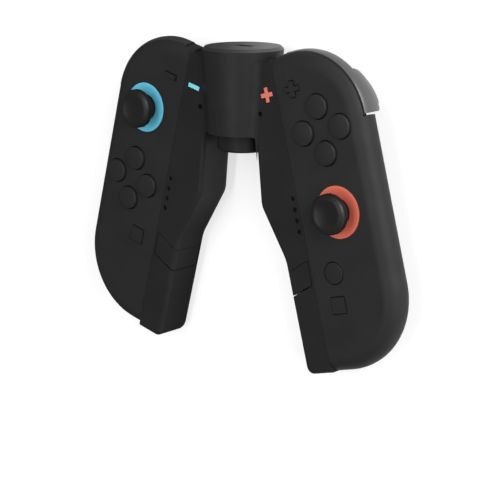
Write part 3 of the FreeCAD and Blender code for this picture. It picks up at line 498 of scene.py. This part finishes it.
def add_screw(mesh, spots):
    """One screw in the room of a plain solid: cross in the head, cone, and a thread of steep rings."""
    depths = [FRONT.dot(spot) for spot in spots]
    back = min(depths)
    length = max(depths) - back
    head = [spot for spot in spots if FRONT.dot(spot) - back < LEVEL_SLACK]
    tail = [spot for spot in spots if FRONT.dot(spot) > back + length - LEVEL_SLACK]
    middle = sum(head, Vector()) / len(head)
    radius = max((spot - middle).length for spot in head)
    shank = max((spot - middle - FRONT * length).length for spot in tail)
    place = axes(RIGHT, -UP, -FRONT, middle)
    lip = radius * HEAD_LIP
    rim = ring_of(mesh, place, radius - lip, 0, SCREW_SIDES)
    edge = ring_of(mesh, place, radius, -lip, SCREW_SIDES)
    walls(mesh, rim, edge)
    cross = cross_loop(mesh, place, radius, 0)
    cross_floor = cross_loop(mesh, place, radius * CROSS_DRAW, -CROSS_DEPTH)
    bmesh.ops.triangle_fill(mesh, edges=edges_round(mesh, rim) + edges_round(mesh, cross), use_beauty=True)
    walls(mesh, cross, cross_floor)
    mesh.faces.new(cross_floor)
    cone = radius - shank
    last = ring_of(mesh, place, shank, -cone, SCREW_SIDES)
    walls(mesh, edge, last)
    pitch = (length - cone) / THREAD_TURNS
    for turn in range(THREAD_TURNS):
        for share, width in THREAD:
            ring = ring_of(mesh, place, shank * width, -cone - pitch * (turn + share), SCREW_SIDES)
            walls(mesh, last, ring)
            last = ring
    mesh.faces.new(last)


# %% [markdown]
# ## Driving the screws
# The four plain screws come as one solid, because they are all alike. To know where each one sits we could
# separate the mesh into loose parts, but there is one in each quarter of the grip, so it is enough to
# sort the vertices into left or right and upper or lower. The new screws then stand for the plain ones.

# %% Drive the four screws


def islands(node):
    """Vertex places of each separate solid in a node, grouped by the quarter of the grip they are in."""
    groups = {}
    middle = sum(reach(node, UP)) / 2
    for vertex in NODES[node].data.vertices:
        key = (RIGHT.dot(vertex.co) > 0, UP.dot(vertex.co) > middle)
        groups.setdefault(key, []).append(vertex.co.copy())
    return list(groups.values())


seats = islands("case_screws")
screws = bmesh.new()
for seat in seats:
    add_screw(screws, seat)
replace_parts(mesh_piece("cross_screws", screws, "grip", "metal"), "case_screws")
print("drove", len(seats), "screws")

# %% [markdown]
# ## Contacts of the docks and the port
# Each side of the grip carries a tongue that slips into its controller, and a row of spring contacts on
# the tongue charges it. The port on the hub has a smaller tongue of the same kind. They show only when
# a controller is pulled or someone looks into the port, but a bare tongue looks like a blank. We could
# paint them on, but light rolls over a bowed strip in a way that paint can't give. So each contact is
# one section swept along an arch, and its underside is let into the tongue.

# %% One spring contact
LEAF_STEPS = 8
LEAF_RISE = 0.00012
LEAF_SINK = 0.00005
LEAF_SECTION = ((-0.5, 0.5), (-0.35, 1.0), (0.35, 1.0), (0.5, 0.5))   # shares of the width and of the rise
END_LIFT = 1e-9   # keeps the arch's height above zero at both ends


def add_leaf(mesh, place, length, width):
    """Low arched strip: it runs along the first axis, is wide along the second and bows up the third."""
    rows = []
    for step in range(LEAF_STEPS + 1):
        share = step / LEAF_STEPS
        rise = LEAF_RISE * math.sqrt(math.sin(math.pi * share) + END_LIFT)
        section = [(width * across, rise * lift) for across, lift in LEAF_SECTION]
        section += [(width / 2, -LEAF_SINK), (-width / 2, -LEAF_SINK)]
        rows.append([mesh.verts.new(place @ Vector((length * (share - 0.5), *point))) for point in section])
    for near, far in zip(rows, rows[1:]):
        walls(mesh, near, far)
    mesh.faces.new(rows[0])
    mesh.faces.new(rows[-1])


# %% [markdown]
# ## A row on each dock
# The contacts lie side by side on the front of each dock's tongue. An array modifier could repeat one, but
# the two docks are splayed, so a loop along each dock's own direction is simpler. The tongue's size is
# measured on the solid, so the row stays in place if the dock is made longer.

# %% Set the contacts on the docks
DOCK_CONTACTS = 10
DOCK_LEAF = (0.0028, 0.0012)   # length and width
DOCK_LEAF_INSET = 0.0022

contacts = bmesh.new()
for side in SIDES:
    dock = side + "_dock_connector"
    low, high = reach(dock, ALONG[side])
    tip = reach(dock, OUT[side])[1]
    top = reach(dock, FRONT)[1]
    pitch = (high - low) / (DOCK_CONTACTS + 1)
    for step in range(1, DOCK_CONTACTS + 1):
        spot = OUT[side] * (tip - DOCK_LEAF_INSET) + ALONG[side] * (low + pitch * step) + FRONT * top
        add_leaf(contacts, axes(OUT[side], ALONG[side], FRONT, spot), *DOCK_LEAF)
mesh_piece("dock_contacts", contacts, "grip", "metal")
print(len(SIDES) * DOCK_CONTACTS, "contacts on the docks")

# %% [markdown]
# ## Two rows in the port
# The port's tongue has contacts on both of its faces. It is part of the port's solid, so its size can't be
# asked for by name. We could type it in, but then it would go wrong when the port changes. Only the tongue
# has corners close to the port's middle, so those vertices are picked out and measured.

# %% Set the contacts in the port
PORT_CONTACTS = 6
PORT_LEAF = (0.0026, 0.0005)   # length and width
PORT_LEAF_INSET = 0.0019
TONGUE_ROOM = (0.0036, 0.0005)   # half of the width and of the height in which only the tongue has corners


def on_tongue(spot):
    """Whether a place, measured from the port, is near enough to its middle to be on the tongue."""
    return abs(RIGHT.dot(spot)) < TONGUE_ROOM[0] and abs(FRONT.dot(spot)) < TONGUE_ROOM[1]


corners = [vertex.co - PORT for vertex in NODES["charging_port"].data.vertices]
tongue = [spot for spot in corners if on_tongue(spot)]
tip = max(UP.dot(spot) for spot in tongue)
half_wide = max(RIGHT.dot(spot) for spot in tongue)
half_thick = max(FRONT.dot(spot) for spot in tongue)
pitch = 2 * half_wide / (PORT_CONTACTS + 1)
contacts = bmesh.new()
for face in (FRONT, -FRONT):
    for step in range(1, PORT_CONTACTS + 1):
        spot = PORT + UP * (tip - PORT_LEAF_INSET) + RIGHT * (pitch * step - half_wide) + face * half_thick
        add_leaf(contacts, axes(UP, face.cross(UP), face, spot), *PORT_LEAF)
mesh_piece("port_contacts", contacts, "grip", "metal")

# %% [markdown]
# ## The floor
# The photograph is a catalogue picture on white. A white floor under strong lamps would do it, but it would
# also throw light back at the grip and wash it out. So the floor is grey paper that keeps a soft shadow, and
# a glow that only the lens sees lifts it to white. Dark plastic shows mostly what it reflects, so in mirrors
# the floor is a bright card on the right that falls off to the left, as a lit table would.

# %% White paper
LENS_GLOW = 0.62
PAPER = ((0.44, 0.44, 0.44), (0.47, 0.47, 0.47))
PAPER_RIPPLES = 30
CARD_STRENGTHS = (0.12, 1.0)     # on the left and on the right
CARD_FALL = (-0.03, 0.012)       # where the card starts and stops to brighten, from left to right


def white_paper():
    """Pale paper that the lens sees as white, and mirrors as a graded card."""
    finish = Finish("white_paper", Roughness=0.9, Specular_IOR_Level=0.1, Emission_Color=(1, 1, 1, 1))
    finish.colour(finish.ramp(finish.noise(PAPER_RIPPLES), *PAPER))
    glow = finish.fit(finish.to_lens(), (0, 1), (0, LENS_GLOW))
    finish.link(glow, finish.shader.inputs["Emission Strength"])
    across = finish.along(finish.place, RIGHT)
    fall = finish.fit(across, CARD_FALL, CARD_STRENGTHS, interpolation_type="SMOOTHSTEP")
    card = finish.add("ShaderNodeEmission")
    finish.link(fall, card.inputs["Strength"])
    choice = finish.add("ShaderNodeMixShader")
    finish.link(finish.by_mirror(), choice.inputs["Fac"])
    finish.link(finish.shader.outputs["BSDF"], choice.inputs[1])
    finish.link(card.outputs["Emission"], choice.inputs[2])
    finish.link(choice.outputs["Shader"], finish.tree.nodes["Material Output"].inputs["Surface"])
    return finish.material


print("paper glows by", LENS_GLOW, "for the lens")

# %% Lay the floor
FLOOR_SIZE = 6.0

bpy.ops.mesh.primitive_plane_add(size=FLOOR_SIZE, location=(0, 0, CAD_BOX[0].z))
floor = bpy.context.object
floor.name = "floor"
floor.data.materials.append(white_paper())
print("floor at", round(CAD_BOX[0].z, 5))

# %% [markdown]
# ## Lamps
# A studio lights dark plastic with large soft lamps. A sun or a point would be simpler, but it draws hard
# spots. The lamp in front and the one on the right only brighten surfaces and are hidden from mirrors. The
# narrow strip is there to be seen: its mirror image is the pale band down the hub. The last one stands far
# out to the right, so that its light grazes the grip's edges.

# %% Hang the lamps
AIM = hub_point(0, -0.06, 0)

# Place to the right of, above and in front of the hub's top; width and height; watts; seen in mirrors
LAMPS = {
    "front_light": ((-0.2, 0.2, 0.95), (0.9, 0.9), 3.5, False),
    "right_light": ((0.55, 0.1, 0.35), (0.3, 0.5), 3.8, False),
    "strip_light": ((0.1, 0.1, 0.8), (0.1, 0.9), 2.0, True),
    "top_light": ((0.7, 0.4, 0.1), (0.3, 0.5), 5.0, True),
}


def aimed(thing, spot, target):
    """Sets an object at a spot, with its -Z at the target and its +Y towards the grip's top."""
    back = (spot - target).normalized()
    across = UP.cross(back).normalized()
    turn = Matrix((across, back.cross(across), back)).transposed()
    thing.matrix_world = Matrix.Translation(spot) @ turn.to_4x4()


def softbox(name, spot, size, power, in_mirrors):
    """Large rectangular lamp that looks at the grip."""
    lamp = bpy.data.lights.new(name, "AREA")
    lamp.shape = "RECTANGLE"
    lamp.size, lamp.size_y = size
    lamp.energy = power
    thing = bpy.data.objects.new(name, lamp)
    thing.visible_glossy = in_mirrors
    bpy.context.scene.collection.objects.link(thing)
    aimed(thing, spot, AIM)


for name, (place, size, power, in_mirrors) in LAMPS.items():
    softbox(name, hub_point(*place), size, power, in_mirrors)

# %% [markdown]
# ## The room
# What the lamps leave dark is lit by the room. An even white room would make the plastic look foggy, and a
# black one would lose its outline. So the room gives a little even light, the lens sees it white, and in
# mirrors it is bright to the right and behind, which outlines the dark shapes, and dim on the left.

# %% Paint the room
AMBIENT = 0.25
SEEN_WHITE = 1.0
ROOM_STRENGTHS = (0.22, 1.0)   # on the dim side and on the bright side
ROOM_FALL = (-0.2, 0.7)        # where the room starts and stops to brighten, -1 to 1 along its bright side
BRIGHT_SIDE = (RIGHT * 0.7 + UP * 0.3 - FRONT * 0.6).normalized()

world = bpy.data.worlds.new("studio")
bpy.context.scene.world = world
world.use_nodes = True
room = Nodes(world.node_tree)
sky = room.tree.nodes["Background"]
sky.inputs["Color"].default_value = (1, 1, 1, 1)
heading = room.add("ShaderNodeTexCoord").outputs["Generated"]
reflected = room.add("ShaderNodeMix", A=AMBIENT)
room.link(room.by_mirror(), reflected.inputs["Factor"])
room.link(room.fit(room.along(heading, BRIGHT_SIDE), ROOM_FALL, ROOM_STRENGTHS), reflected.inputs["B"])
seen = room.add("ShaderNodeMix", B=SEEN_WHITE)
room.link(room.to_lens(), seen.inputs["Factor"])
room.link(reflected.outputs["Result"], seen.inputs["A"])
room.link(seen.outputs["Result"], sky.inputs["Strength"])
print("room graded from", ROOM_STRENGTHS[0], "to", ROOM_STRENGTHS[1])

# %% [markdown]
# ## The camera
# The picture was taken from the right and a little above, with a long lens, so the perspective is gentle.
# A constraint could keep the camera on its target, but it never moves, so it is turned once with the same
# helper as the lamps. Its places are measured from the hub's top, which the picture shows well.

# %% Set up the camera
CAMERA_SPOT = hub_point(0.391, 0.064, 0.455)
CAMERA_AIM = hub_point(0.0123, -0.0738, 0.0105)
LENS = 116.75
FILM_WIDTH = 36.0

lens = bpy.data.cameras.new("camera")
lens.lens = LENS
lens.sensor_width = FILM_WIDTH
camera = bpy.data.objects.new("camera", lens)
bpy.context.scene.collection.objects.link(camera)
aimed(camera, CAMERA_SPOT, CAMERA_AIM)
bpy.context.scene.camera = camera
bpy.context.scene.view_settings.view_transform = "Standard"
print("camera", round((CAMERA_SPOT - CAMERA_AIM).length, 3), "m from what it looks at")
